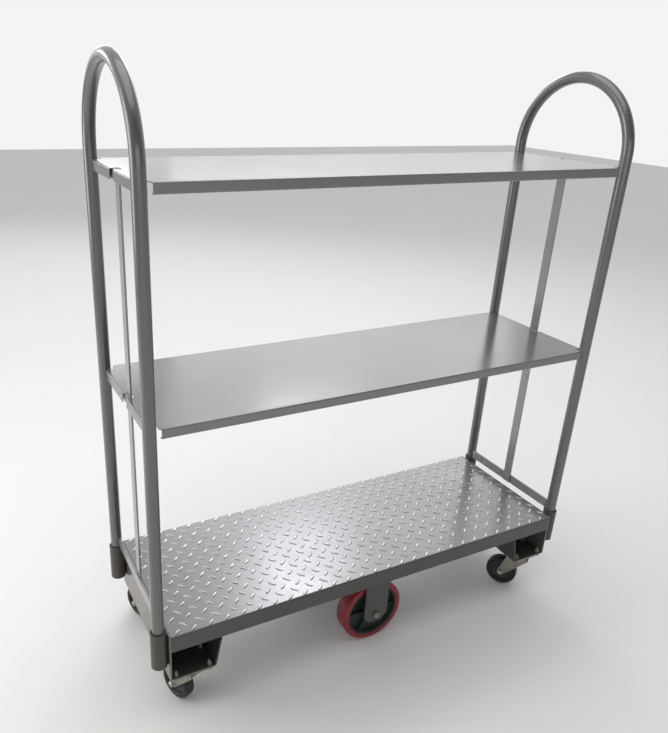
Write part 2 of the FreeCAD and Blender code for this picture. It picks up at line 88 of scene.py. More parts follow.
def rounded(corners, radius, steps=5, closed=False):
    """Path through corners, each of them rounded. radius is one number or one for each corner."""
    corners = [Vector(c) for c in corners]
    count = len(corners)
    radii = [radius] * count if isinstance(radius, (int, float)) else radius
    path = []
    for i, corner in enumerate(corners):
        if not closed and i in (0, count - 1):
            path.append(corner)
        else:
            path += round_corner(corners[i - 1], corner, corners[(i + 1) % count], radii[i], steps)
    return path


def ribbon(path, wall):
    """Closed outline of a strip of that thickness along the middle of an open path."""
    left, right = [], []
    for i, point in enumerate(path):
        along = (path[min(i + 1, len(path) - 1)] - path[max(i - 1, 0)]).normalized()
        across = Vector((-along.y, along.x)) * wall / 2
        left.append(point + across)
        right.append(point - across)
    return left + right[::-1]


def rectangle(x0, y0, x1, y1):
    """Four corners, counterclockwise."""
    return [(x0, y0), (x1, y0), (x1, y1), (x0, y1)]


def mirrored(quarter):
    """Outline with four-fold symmetry from its first quarter, which runs towards +X."""
    outline = []
    for x, y, ordered in ((1, 1, quarter), (1, -1, quarter[::-1]),
                          (-1, -1, quarter), (-1, 1, quarter[::-1])):
        outline += [(x * p[0], y * p[1]) for p in ordered]
    return outline


# ---- solids, each added to a bmesh in a place given by a matrix ----

def prism(shape, outline, low, high, place=Matrix()):
    """Solid with an outline in the place's XY plane, from low to high along its Z."""
    rings = [[shape.verts.new(place @ Vector((p[0], p[1], z))) for p in outline]
             for z in (low, high)]
    count = len(outline)
    shape.faces.new(rings[0][::-1])
    shape.faces.new(rings[1])
    for i in range(count):
        j = (i + 1) % count
        shape.faces.new((rings[0][i], rings[0][j], rings[1][j], rings[1][i]))


def stack(shape, rings):
    """Solid through equal rings of points, with its two ends closed."""
    loops = [[shape.verts.new(p) for p in ring] for ring in rings]
    count = len(loops[0])
    for low, high in zip(loops, loops[1:]):
        for i in range(count):
            j = (i + 1) % count
            shape.faces.new((low[i], low[j], high[j], high[i]))
    shape.faces.new(loops[0][::-1])
    shape.faces.new(loops[-1])


def lathe(shape, profile, place=Matrix(), steps=64):
    """Solid turned about the place's Z from a closed profile of (radius, height)."""
    rings = []
    for radius, height in profile:
        count = steps if radius > 1e-7 else 1
        rings.append([shape.verts.new(place @ Vector((radius * math.cos(math.tau * i / count),
                                                      radius * math.sin(math.tau * i / count),
                                                      height))) for i in range(count)])
    for a, b in zip(rings, rings[1:] + rings[:1]):
        if len(a) == len(b) == 1:
            continue
        for i in range(steps):
            j = (i + 1) % steps
            corners = [a[i % len(a)], a[j % len(a)], b[j % len(b)], b[i % len(b)]]
            shape.faces.new(list(dict.fromkeys(corners)))


def sweep(path, radii, across, steps=24):
    """Rings of points round a path that stays square to one direction."""
    rings = []
    for i, point in enumerate(path):
        along = (path[min(i + 1, len(path) - 1)] - path[max(i - 1, 0)]).normalized()
        side = along.cross(across).normalized()
        rings.append([point + radii[i] * (across * math.cos(math.tau * k / steps)
                                          + side * math.sin(math.tau * k / steps))
                      for k in range(steps)])
    return rings


def pipe(shape, path, outer, inner, across, steps=40):
    """Tube with a wall, open at both ends."""
    skins = []
    for radius in (outer, inner):
        rings = sweep(path, [radius] * len(path), across, steps)
        skins.append([[shape.verts.new(p) for p in ring] for ring in rings])
    for skin, turn in zip(skins, (1, -1)):
        for low, high in zip(skin, skin[1:]):
            for i in range(steps):
                j = (i + 1) % steps
                shape.faces.new((low[i], low[j], high[j], high[i])[::turn])
    for end, turn in ((0, -1), (-1, 1)):
        outside, inside = skins[0][end], skins[1][end]
        for i in range(steps):
            j = (i + 1) % steps
            shape.faces.new((outside[i], outside[j], inside[j], inside[i])[::turn])


def hexagon(shape, flats, height, place=Matrix(), crown=0.0012):
    """Hexagon bar end with the corners of its top turned off."""
    across = flats / math.sqrt(3)
    rings = []
    for radius, z in ((across, 0), (across, height - crown), (across - crown, height)):
        rings.append([place @ Vector((p.x, p.y, z)) for p in circle(radius, 6)])
    stack(shape, rings)


def thread(shape, radius, low, high, place=Matrix(), pitch=0.00125):
    """Rod end with rings for its thread."""
    profile = [(0, low)]
    turns = int((high - low) / pitch)
    for i in range(turns):
        z = low + (high - low) * i / turns
        profile += [(radius * 0.9, z), (radius, z + pitch / 2)]
    lathe(shape, profile + [(radius * 0.8, high), (0, high)], place, 20)


def bead(shape, start, end, radius, pitch=0.0035):
    """Weld bead between two points, rippled along its length."""
    start, end = Vector(start), Vector(end)
    length = (end - start).length
    count = max(4, int(length / pitch) * 4)
    across = (end - start).orthogonal().normalized()
    path = [start.lerp(end, i / count) for i in range(count + 1)]
    radii = []
    for i in range(count + 1):
        ripple = 1 + 0.09 * math.cos(math.tau * i / 4) + random.uniform(-0.05, 0.05)
        taper = min(1, 0.45 + min(i, count - i) * 0.3)
        radii.append(radius * ripple * taper)
    stack(shape, sweep(path, radii, across, 10))


# ---- folded sheet metal ----

def walk(distance, runs):
    """Where a sheet's middle is, outward and down, after runs of (straight, bend, radius)."""
    out = down = heading = 0
    for straight, bend, radius in runs:
        step = min(distance, straight)
        out += step * math.cos(heading)
        down += step * math.sin(heading)
        distance -= step
        if radius:
            part = min(distance / radius, bend)
            out += radius * (math.sin(heading + part) - math.sin(heading))
            down += radius * (math.cos(heading) - math.cos(heading + part))
            heading += part
            distance -= part * radius
    return out, down


def creases(runs, steps=6):
    """Distances at which a flat blank needs an edge to bend along runs."""
    distance, cuts = 0, []
    for straight, bend, radius in runs:
        distance += straight
        if radius:
            cuts += [distance + bend * radius * i / steps for i in range(steps + 1)]
            distance += bend * radius
    return cuts


def blank_length(runs):
    """Length of the flat sheet that runs take up."""
    return sum(straight + bend * radius for straight, bend, radius in runs)


def fold(outline, folds):
    """Flat blank bent down at both sides of its middle. folds has start and runs for each axis."""
    shape = bmesh.new()
    shape.faces.new([shape.verts.new((p[0], p[1], 0)) for p in outline])
    bmesh.ops.triangulate(shape, faces=shape.faces[:])
    for axis, (start, runs) in folds.items():
        normal = Vector((axis == 0, axis == 1, 0))
        for cut in creases(runs):
            for sign in (-1, 1):
                everything = shape.verts[:] + shape.edges[:] + shape.faces[:]
                bmesh.ops.bisect_plane(shape, geom=everything, plane_no=normal,
                                       plane_co=normal * sign * (start + cut))
        for vert in shape.verts:
            beyond = abs(vert.co[axis]) - start
            if beyond > 0:
                out, down = walk(beyond, runs)
                vert.co[axis] = math.copysign(start + out, vert.co[axis])
                vert.co.z -= down
    return shape


# ---- materials ----

class Nodes:
    """One material's node tree, with short calls for the nodes that the finishes share."""

    def __init__(self, name):
        self.material = bpy.data.materials.new(name)
        self.material.use_nodes = True
        self.tree = self.material.node_tree
        self.shader = self.tree.nodes["Principled BSDF"]
        self.where = self.tree.nodes.new("ShaderNodeTexCoord").outputs["Object"]

    def link(self, value, socket):
        if isinstance(value, bpy.types.NodeSocket):
            self.tree.links.new(value, socket)
        else:
            socket.default_value = value

    def noise(self, scale, detail=4, roughness=0.55, stretch=None):
        node = self.tree.nodes.new("ShaderNodeTexNoise")
        node.inputs["Scale"].default_value = scale
        node.inputs["Detail"].default_value = detail
        node.inputs["Roughness"].default_value = roughness
        self.link(self.stretched(stretch) if stretch else self.where, node.inputs["Vector"])
        return node.outputs["Fac"]

    def stretched(self, scale):
        node = self.tree.nodes.new("ShaderNodeMapping")
        node.inputs["Scale"].default_value = scale
        self.link(self.where, node.inputs["Vector"])
        return node.outputs["Vector"]

    def ramp(self, value, low, high, start=0.0, end=1.0):
        """Value taken from start to end as it goes from low to high."""
        node = self.tree.nodes.new("ShaderNodeMapRange")
        self.link(value, node.inputs["Value"])
        for socket, number in (("From Min", low), ("From Max", high), ("To Min", start),
                               ("To Max", end)):
            node.inputs[socket].default_value = number
        return node.outputs["Result"]

    def mix(self, factor, first, second, blend="MIX"):
        node = self.tree.nodes.new("ShaderNodeMix")
        node.data_type = "RGBA"
        node.blend_type = blend
        self.link(factor, node.inputs["Factor"])
        self.link(first, node.inputs["A"])
        self.link(second, node.inputs["B"])
        return node.outputs["Result"]

    def math(self, operation, first, second):
        node = self.tree.nodes.new("ShaderNodeMath")
        node.operation = operation
        self.link(first, node.inputs[0])
        self.link(second, node.inputs[1])
        return node.outputs[0]

    def bump(self, height, strength, distance):
        node = self.tree.nodes.new("ShaderNodeBump")
        node.inputs["Strength"].default_value = strength
        node.inputs["Distance"].default_value = distance
        self.link(height, node.inputs["Height"])
        self.link(node.outputs["Normal"], self.shader.inputs["Normal"])

    def finish(self, **values):
        for name, value in values.items():
            self.link(value, self.shader.inputs[name.replace("_", " ")])
        return self.material


def shade(colour, factor):
    """Colour made lighter or darker, with its alpha at 1."""
    return tuple(c * factor for c in colour[:3]) + (1,)


def paint(name, colour, roughness, spread=0.12, peel=0.25, metallic=0.0, coat=0.0):
    """Sprayed paint: slow drift of its colour, dust, and fine orange peel."""
    n = Nodes(name)
    drift = n.ramp(n.noise(4, 3), 0.3, 0.7)
    tone = n.mix(drift, shade(colour, 1 - spread), shade(colour, 1 + spread))
    specks = n.ramp(n.noise(420, 2, 0.7), 0.7, 0.78)
    tone = n.mix(n.math("MULTIPLY", specks, 0.12), tone, shade(colour, 1.35))
    rough = n.ramp(n.noise(9, 5, 0.65), 0.3, 0.75, roughness * 0.9, roughness * 1.15)
    n.bump(n.noise(650, 2, 0.5), peel, 0.0002)
    return n.finish(Base_Color=tone, Roughness=rough, Metallic=metallic, Coat_Weight=coat,
                    Coat_Roughness=0.12)


def zinc(name, colour, roughness):
    """Zinc-plated pressing, with a brushed grain and dull patches."""
    n = Nodes(name)
    patches = n.ramp(n.noise(60, 4, 0.6), 0.35, 0.7)
    tone = n.mix(patches, shade(colour, 0.72), shade(colour, 1.1))
    grain = n.noise(300, 3, 0.6, (1, 1, 9))
    rough = n.ramp(patches, 0, 1, roughness * 1.3, roughness * 0.8)
    n.bump(grain, 0.15, 0.0002)
    return n.finish(Base_Color=tone, Roughness=rough, Metallic=0.8)


def rubber(name, colour, roughness):
    """Moulded tread: scuffs on its running face and a fine grain."""
    n = Nodes(name)
    scuffs = n.ramp(n.noise(35, 6, 0.7), 0.45, 0.75)
    tone = n.mix(scuffs, colour, shade(colour, 1.7))
    rough = n.ramp(n.noise(80, 4, 0.6), 0.3, 0.7, roughness * 0.85, roughness * 1.15)
    n.bump(n.noise(900, 3, 0.6), 0.3, 0.0002)
    return n.finish(Base_Color=tone, Roughness=rough)


def casting(name, colour, roughness):
    """Painted casting with a sandy skin."""
    n = Nodes(name)
    tone = n.mix(n.ramp(n.noise(25, 4), 0.35, 0.7), shade(colour, 0.7), shade(colour, 1.3))
    n.bump(n.noise(500, 5, 0.7), 0.6, 0.0004)
    return n.finish(Base_Color=tone, Roughness=n.ramp(n.noise(60, 3), 0.3, 0.7, roughness, 0.7))


def ground(name, colour):
    """Floor that drifts a little in brightness."""
    n = Nodes(name)
    tone = n.mix(n.noise(3, 4), shade(colour, 0.97), shade(colour, 1.0))
    return n.finish(Base_Color=tone, Roughness=0.8)


FINISH = {
    "deck": paint("deck_silver", (0.29, 0.295, 0.305), 0.25, 0.05, 0.2, metallic=0.55),
    # lugs are lighter than the sheet they are pressed from: partly wear that rubs their tops bright,
    # partly a painted highlight for their glints
    "lug": paint("lug_wear_and_glint_silver", (0.5, 0.51, 0.52), 0.2, 0.05, 0.1, metallic=0.7),
    "chassis": paint("chassis_grey", (0.08, 0.082, 0.077), 0.33, 0.08, 0.2),
    # the end plates' lighter, warmer grey is a lit copy of the chassis paint: painted light from the
    # warm side, not a colour of their own
    "end": paint("end_painted_light_grey", (0.2, 0.183, 0.168), 0.28, 0.06, 0.2, metallic=0.4),
    "frame": paint("frame_grey", (0.155, 0.159, 0.154), 0.24, 0.04, 0.06, metallic=0.55, coat=0.4),
    # the channels are the chassis paint darkened: painted shade for the dark inside of each channel
    "channel": paint("channel_painted_shade_grey", (0.045, 0.045, 0.041), 0.38, 0.08, 0.2),
    # the sockets are a darker, browner copy of the frame paint: painted shade with a warm cast
    "socket": paint("socket_painted_shade_grey", (0.066, 0.06, 0.052), 0.36, 0.08, 0.2),
    "bar": paint("bar_grey", (0.3, 0.308, 0.31), 0.28, 0.05, 0.06, metallic=0.4, coat=0.3),
    "shelf": paint("shelf_grey", (0.225, 0.231, 0.23), 0.18, 0.04, 0.1, metallic=0.4),
    "zinc": zinc("zinc_plate", (0.35, 0.333, 0.275), 0.36),
    "bright": zinc("bright_zinc", (0.5, 0.5, 0.48), 0.3),
    "black": rubber("caster_rubber", (0.009, 0.009, 0.0085, 1), 0.5),
    "red": rubber("red_urethane", (0.24, 0.015, 0.022, 1), 0.3),
    "core": casting("core_green", (0.022, 0.034, 0.028), 0.45),
    "caster_core": rubber("caster_core_black", (0.03, 0.03, 0.03, 1), 0.4),
    "floor": ground("pale_floor", (0.9, 0.9, 0.9)),
}


def piece(name, shape, body, finish, nodes=(), wall=None, bevel=None):
    """Turn a bmesh into a named object that rides on a body, in place of CAD nodes."""
    bmesh.ops.recalc_face_normals(shape, faces=shape.faces[:])
    mesh = bpy.data.meshes.new(name)
    shape.to_mesh(mesh)
    shape.free()
    thing = bpy.data.objects.new(name, mesh)
    bpy.context.scene.collection.objects.link(thing)
    if wall:
        solid = thing.modifiers.new("wall", "SOLIDIFY")
        solid.thickness, solid.offset, solid.use_even_offset = wall, 0, True
    if bevel:
        edge = thing.modifiers.new("edges", "BEVEL")
        edge.width, edge.segments, edge.limit_method = bevel, 2, "ANGLE"
        edge.angle_limit = math.radians(40)
    final = bpy.data.meshes.new_from_object(thing.evaluated_get(bpy.context.evaluated_depsgraph_get()))
    thing.modifiers.clear()
    thing.data = final
    final.name = name
    final.shade_smooth()
    final.set_sharp_from_angle(angle=math.radians(35))
    thing.modifiers.new("shading", "WEIGHTED_NORMAL").keep_sharp = True
    final.materials.clear()
    final.materials.append(FINISH[finish])
    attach(thing, body)
    if nodes:
        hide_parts(*nodes)
    return thing


def joint(name):
    """The frame's row for one joint."""
    return next(j for j in frame["joints"] if j["name"] == name)


def facing(point, x, y):
    """Matrix at a point whose X and Y axes lie along two directions."""
    x, y = Vector(x).normalized(), Vector(y).normalized()
    turn = Matrix((x, y, x.cross(y))).transposed().to_4x4()
    return Matrix.Translation(point) @ turn


# ---- deck ----

# lugs of one direction repeat at this pitch, and the others lie half a pitch away in X and Y
LUG_PITCH = (0.0462, 0.0472)
LUG_FIRST = (-0.0751, -0.1648)
# direction in degrees of the lugs at each offset, which is in pitches
LUG_ANGLES = {0: 42, 0.5: -50}
# length, width and height
LUG_SIZE = (0.0275, 0.0096, 0.0018)


def lug(shape, x, y, z, angle):
    """Pointed lens-shaped lug with a crowned top."""
    length, width, height = LUG_SIZE
    turn = Matrix.Translation((x, y, z)) @ Matrix.Rotation(angle, 4, "Z")
    rings = []
    for across, along, up in ((1, 1, -0.3), (1, 1, 0), (0.9, 0.97, 0.3), (0.76, 0.92, 0.57),
                              (0.56, 0.83, 0.8), (0.33, 0.66, 0.94), (0.1, 0.35, 1)):
        ring = []
        for i in range(16):
            t = math.tau * i / 16
            wide = math.sin(t) * abs(math.sin(t)) ** 0.25
            ring.append(turn @ Vector((along * length / 2 * math.cos(t),
                                       across * width / 2 * wide, up * height)))
        rings.append(ring)
    stack(shape, rings)


def deck():
    """Flat sheet, and its lugs in two crossing directions, trimmed at the sheet's edges."""
    low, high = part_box("deck_plate")
    shape = bmesh.new()
    edge = 0.0015
    reach = [int((high[i] - low[i]) / LUG_PITCH[i]) + 2 for i in (0, 1)]
    for offset, angle in LUG_ANGLES.items():
        for i in range(-reach[0], reach[0]):
            for j in range(-reach[1], reach[1]):
                x = LUG_FIRST[0] + (i + offset) * LUG_PITCH[0]
                y = LUG_FIRST[1] + (j + offset) * LUG_PITCH[1]
                near = LUG_SIZE[0] / 2
                if low.x - near < x < high.x + near and low.y - near < y < high.y + near:
                    lug(shape, x, y, high.z, math.radians(angle))
    for axis, sign in ((0, -1), (0, 1), (1, -1), (1, 1)):
        normal = Vector((axis == 0, axis == 1, 0)) * sign
        limit = (high[axis] if sign > 0 else -low[axis]) - edge
        everything = shape.verts[:] + shape.edges[:] + shape.faces[:]
        cut = bmesh.ops.bisect_plane(shape, geom=everything, plane_co=normal * limit,
                                     plane_no=normal, clear_outer=True)
        rim = [e for e in cut["geom_cut"] if isinstance(e, bmesh.types.BMEdge)]
        bmesh.ops.holes_fill(shape, edges=rim)
    # the lugs' lighter silver is part wear and part painted highlight
    piece("deck_lugs", shape, "chassis", "lug")
    sheet = bmesh.new()
    prism(sheet, rectangle(low.x, low.y, high.x, high.y), low.z, high.z)
    piece("deck_sheet", sheet, "chassis", "deck", ["deck_plate"], bevel=0.0006)


def side_rail(side, sign):
    """Folded channel section with rounded bends, run along the deck's edge."""
    node = "side_rail_" + side
    low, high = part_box(node)
    wall, bend = 0.003, 0.004
    outer = high.y if sign > 0 else low.y
    inner = low.y if sign > 0 else high.y
    middle = outer - sign * wall / 2
    top, foot = high.z - wall / 2, low.z + wall / 2
    path = rounded([(inner, foot), (middle, foot), (middle, top), (inner, top)], bend)
    shape = bmesh.new()
    # the outline's X and Y are the trolley's Y and Z
    prism(shape, ribbon(path, wall), low.x, high.x, facing((0, 0, 0), (0, 1, 0), (0, 0, 1)))
    piece("rail_" + side, shape, "chassis", "chassis", [node], bevel=0.0004)


def end_plate(end):
    """Flat plate with rounded corners that closes one end."""
    node = "end_plate_" + end
    low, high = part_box(node)
    shape = bmesh.new()
    outline = rounded(rectangle(low.y, low.z, high.y, high.z), 0.003, closed=True)
    prism(shape, outline, low.x, high.x, facing((0, 0, 0), (0, 1, 0), (0, 0, 1)))
    # painted light: the end plates get a lighter, warmer copy of the chassis paint
    piece("end_" + end, shape, "chassis", "end", [node], bevel=0.0009)


def caster_channel(end, sign):
    """Bent plate: a foot over the casters and a wall that leans in between the rails."""
    node = "caster_channel_" + end
    low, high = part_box(node)
    wall, bend, foot_length = CHANNEL_WALL, 0.0038, 0.120
    rail_low, rail_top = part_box("side_rail_front")
    rail_high = rail_top.z - rail_low.z
    tip = max(abs(low.x), abs(high.x))
    heel, head = tip - foot_length, min(abs(low.x), abs(high.x))
    rise = high.z - low.z
    lean = math.atan2(heel - head, rise)
    turn = math.pi / 2 - lean
    tangent = bend * math.tan(turn / 2)
    runs = [(foot_length - tangent, turn, bend), (math.hypot(rise, heel - head), 0, 0)]
    narrow = high.y - 0.0205
    slope = rise / math.cos(lean) - tangent - wall / 2
    length = foot_length - tangent + turn * bend + slope
    notch = length - (rail_high + 0.001) / math.cos(lean)
    half = [(0, high.y), (notch, high.y), (notch, narrow), (length, narrow)]
    outline = half + [(x, -y) for x, y in half[::-1]]
    shape = fold(outline, {0: (0, runs)})
    # the blank is folded down, so it is turned over: its foot lies at the bottom, wall upward
    for vert in shape.verts:
        x, y, z = vert.co
        vert.co = Vector((sign * (tip - x), y, low.z + wall / 2 - z))
    # the channel's darker grey is painted shade for its shadowed inside
    piece("channel_" + end, shape, "chassis", "channel", [node], wall=wall,
          bevel=0.0006)


# ---- end frames ----

def handle(end):
    """Tube bent to an inverted U."""
    node = "handle_" + end
    low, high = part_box(node)
    radius, wall = (high.x - low.x) / 2, 0.002
    x = (low.x + high.x) / 2
    reach = high.y - radius
    spring = high.z - high.y
    legs = 24
    path = [Vector((x, -reach, low.z + (spring - low.z) * i / legs)) for i in range(legs)]
    path += [Vector((x, p.x, p.y)) for p in arc((0, spring), reach, 180, 0, 64)]
    path += [Vector((x, reach, spring - (spring - low.z) * (i + 1) / legs)) for i in range(legs)]
    shape = bmesh.new()
    pipe(shape, path, radius, radius - wall, Vector((1, 0, 0)), 48)
    piece("hoop_" + end, shape, "chassis", "frame", [node])


def socket(end, side, sign):
    """Turned socket with a floor, flattened where it meets the end plate."""
    node = "socket_%s_%s" % (end, side)
    low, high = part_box(node)
    radius, bore, floor, chamfer = (high.y - low.y) / 2, 0.0165, 0.004, 0.001
    x = high.x - radius if sign > 0 else low.x + radius
    flat = low.x if sign > 0 else high.x
    deep = high.z - low.z
    shape = bmesh.new()
    lathe(shape, [(0, 0), (radius - chamfer, 0), (radius, chamfer), (radius, deep - chamfer),
                  (radius - chamfer, deep), (bore + chamfer, deep), (bore, deep - chamfer),
                  (bore, floor), (0, floor)],
          Matrix.Translation((x, (low.y + high.y) / 2, low.z)), 64)
    everything = shape.verts[:] + shape.edges[:] + shape.faces[:]
    cut = bmesh.ops.bisect_plane(shape, geom=everything, plane_co=(flat, 0, 0),
                                 plane_no=(-sign, 0, 0), clear_outer=True)
    rim = [e for e in cut["geom_cut"] if isinstance(e, bmesh.types.BMEdge)]
    bmesh.ops.holes_fill(shape, edges=rim)
    # the sockets' dark brownish grey is painted shade on the frame paint
    piece("tube_" + node, shape, "chassis", "socket", [node], bevel=0.0004)


def flat_bar(node):
    """Bar with softened edges."""
    low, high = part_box(node)
    shape = bmesh.new()
    prism(shape, rectangle(low.x, low.y, high.x, high.y), low.z, high.z)
    piece("bar_" + node, shape, "chassis", "bar", [node], bevel=0.0008)


def end_welds(end, sign):
    """Beads at the joints of one end frame and its sockets."""
    shape = bmesh.new()
    plate_low, plate_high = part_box("end_plate_" + end)
    face = plate_high.x if sign > 0 else plate_low.x
    for side in SIDES:
        low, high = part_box("socket_%s_%s" % (end, side))
        chord = math.sqrt(((high.y - low.y) / 2) ** 2 - ((high.x - low.x) - (high.y - low.y) / 2) ** 2)
        middle = (low.y + high.y) / 2
        for y in (middle - chord, middle + chord):
            bead(shape, (face, y, low.z + 0.004), (face, y, plate_high.z - 0.004), 0.0028)
    for level in ("low", "middle", "upper"):
        low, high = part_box("crossbar_%s_%s" % (level, end))
        for y_sign in (-1, 1):
            y = y_sign * (high.y - 0.0015)
            for x in (low.x, high.x):
                bead(shape, (x, y, low.z + 0.001), (x, y, high.z - 0.001), 0.0017)
    piece("welds_" + end, shape, "chassis", "frame")


# ---- shelves ----

def shelf(node):
    """Tray folded from one blank: side lips with hems, and slotted flanges at both ends."""
    low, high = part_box(node)
    wall, lip = 0.0015, high.z - low.z
    side_bend, end_bend, hem_width = 0.0022, 0.0035, 0.010
    lip_end, notch_x, notch_y, clip = 0.648, 0.653, 0.182, 0.008
    slot_x, slot_half, relief = 0.655, 0.0165, 0.0025
    quarter_turn = math.pi / 2
    side_start = high.y - wall / 2 - side_bend
    side_runs = [(0, quarter_turn, side_bend),
                 (lip - wall - 2 * side_bend, quarter_turn, side_bend),
                 (hem_width - wall / 2 - side_bend, 0, 0)]
    end_start = high.x - wall / 2 - end_bend
    end_runs = [(0, quarter_turn, end_bend), (lip - wall / 2 - end_bend, 0, 0)]
    side_edge = side_start + blank_length(side_runs)
    end_edge = end_start + blank_length(end_runs)
    quarter = [(lip_end, side_edge), (lip_end, side_start), (notch_x, high.y - clip)]
    quarter += arc((notch_x, notch_y), relief, 90, 315, 8)
    quarter += [(notch_x + clip / 2, notch_y - clip / 2), (end_edge, notch_y - clip / 2),
                (end_edge, slot_half)]
    quarter += [(slot_x + 0.003, slot_half), (slot_x, slot_half - 0.003)]
    shape = fold(mirrored(quarter), {0: (end_start, end_runs), 1: (side_start, side_runs)})
    bmesh.ops.translate(shape, verts=shape.verts[:], vec=(0, 0, high.z - wall / 2))
    piece("tray_" + node, shape, node, "shelf", [node], wall=wall)


# ---- casters ----

def caster_place(name):
    """Matrix at the swivel axis on the floor, with X along the direction the wheel trails in."""
    pivot = Vector(joint("caster_swivel_" + name)["pos_m"])
    axle = Vector(joint("caster_roll_" + name)["pos_m"])
    back = Vector((axle.x - pivot.x, axle.y - pivot.y, 0))
    return facing((pivot.x, pivot.y, 0), back, Vector((0, 0, 1)).cross(back)), back.length, axle.z


def caster_plate(name):
    """Top plate with rounded corners, raised ball race and riveted kingpin."""
    node = "caster_plate_" + name
    low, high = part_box(node)
    wall, race, crown_top = CASTER_PLATE_WALL, 0.029, 0.1308
    shape = bmesh.new()
    outline = rounded(rectangle(low.x, low.y, high.x, high.y), 0.008, closed=True)
    prism(shape, outline, high.z - wall, high.z)
    centre = Matrix.Translation(((low.x + high.x) / 2, (low.y + high.y) / 2, 0))
    under = high.z - wall
    profile = [(0.006, under + 0.0005), (race + 0.002, under + 0.0005), (race, under - 0.002),
               (race, crown_top + 0.0015), (race - 0.0015, crown_top), (0.006, crown_top)]
    lathe(shape, profile, centre, 56)
    lathe(shape, [(0, low.z + 0.0005), (0.003, low.z), (0.006, low.z + 0.0005),
                  (0.006, under + 0.0005), (0, under + 0.0005)], centre, 32)
    lathe(shape, [(0.006, 0.1216), (0.0085, 0.1216), (0.010, 0.1231), (0.010, 0.1256),
                  (0.006, 0.1256)], centre, 32)
    piece("mount_" + name, shape, "chassis", "zinc", [node], bevel=0.0005)


def caster_fork(name):
    """Pressed fork: one blank folded down at both sides of its crown, tapering to the axle."""
    place, trail, axle_z = caster_place(name)
    inside, wall = FORK_INSIDE, FORK_WALL
    crown_top, bend, boss = 0.130, 0.0045, 0.012
    half = inside / 2 + wall / 2
    start = half - bend
    run = bend * math.pi / 2
    middle = crown_top - wall / 2
    runs = [(0, math.pi / 2, bend), (0.2, 0, 0)]

    def flat(x, z):
        """Blank's place of a point on an arm, from its height."""
        return (x, start + run + (middle - bend - z))

    back, front, shoulder = -0.036, 0.032, 0.122
    tip = [flat(p.x, p.y) for p in arc((trail, axle_z), boss, 10, -132, 12)]
    arm = [(front, start + run * 0.5), flat(front, shoulder)] + tip
    arm += [flat(back, shoulder), (back, start + run * 0.5)]
    outline = [(x, y) for x, y in arm] + [(x, -y) for x, y in arm[::-1]]
    outline = rounded(outline, 0.0015, 2, closed=True)
    shape = fold(outline, {1: (start, runs)})
    for vert in shape.verts:
        vert.co = place @ (vert.co + Vector((0, 0, middle)))
    piece("fork_pressing_" + name, shape, "fork_" + name, "zinc", ["caster_fork_" + name],
          wall=wall, bevel=0.0005)
    race = bmesh.new()
    lathe(race, [(0.0061, 0.1262), (0.027, 0.1262), (0.029, 0.1275), (0.029, 0.1295),
                 (0.0275, 0.1302), (0.0061, 0.1302)], place, 56)
    piece("fork_race_" + name, race, "fork_" + name, "zinc")


def axle_bolt(name, node, place, grip, radius, flats, head, nut, body, finish="bright"):
    """Bolt head and nut at the two ends of an axle that lies along the place's Z."""
    shape = bmesh.new()
    flip = Matrix.Rotation(math.pi, 4, "X")
    hexagon(shape, flats, head, place @ flip)
    lathe(shape, [(0, -0.0005), (radius, -0.0005), (radius, grip + 0.0005), (0, grip + 0.0005)],
          place, 28)
    hexagon(shape, flats, nut, place @ Matrix.Translation((0, 0, grip)))
    thread(shape, radius * 0.93, grip + nut - 0.001, grip + nut + 0.001, place)
    piece(name, shape, body, finish, [node])


def caster_wheel(name):
    """Tyre, core and axle bolt of one caster."""
    place, trail, axle_z = caster_place(name)
    inside, wall = FORK_INSIDE, FORK_WALL
    low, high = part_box("caster_tyre_" + name)
    radius, width, core = (high.z - low.z) / 2, 0.032, 0.038
    spin = place @ Matrix.Translation((trail, 0, axle_z)) @ Matrix.Rotation(-math.pi / 2, 4, "X")
    half = width / 2
    # tread with a gentle crown, rounded shoulders and a moulded line on each wall
    right = [(core, -half + 0.001), (core + 0.001, -half), (core + 0.0045, -half),
             (core + 0.0052, -half + 0.0006), (core + 0.006, -half + 0.0001), (radius - 0.006, -half)]
    right += [(p.x, -p.y) for p in arc((radius - 0.0065, half - 0.0055), 0.0055, 85, 8, 7)]
    crown = [(radius - 0.0003, -half * 0.35), (radius, 0)]
    profile = right + crown
    profile += [(r, -y) for r, y in (right + crown[:1])[::-1]]
    tyre = bmesh.new()
    lathe(tyre, profile, spin, 96)
    piece("tyre_" + name, tyre, "wheel_" + name, "black", ["caster_tyre_" + name])
    hub = inside / 2 - 0.0002
    side = [(0.00505, hub), (0.011, hub), (0.014, hub - 0.003), (0.0145, 0.008), (0.020, 0.0055),
            (0.029, 0.0055), (0.0335, 0.008), (0.0345, half - 0.003), (0.036, half - 0.0012),
            (core, half - 0.0012)]
    shape = bmesh.new()
    lathe(shape, side + [(r, -y) for r, y in side[::-1]], spin, 72)
    piece("core_" + name, shape, "wheel_" + name, "caster_core", ["caster_core_" + name])
    start = spin @ Matrix.Translation((0, 0, -(inside / 2 + wall)))
    axle_bolt("axle_" + name, "caster_axle_" + name, start, inside + 2 * wall, 0.005, 0.015,
              0.0065, 0.008, "fork_" + name)


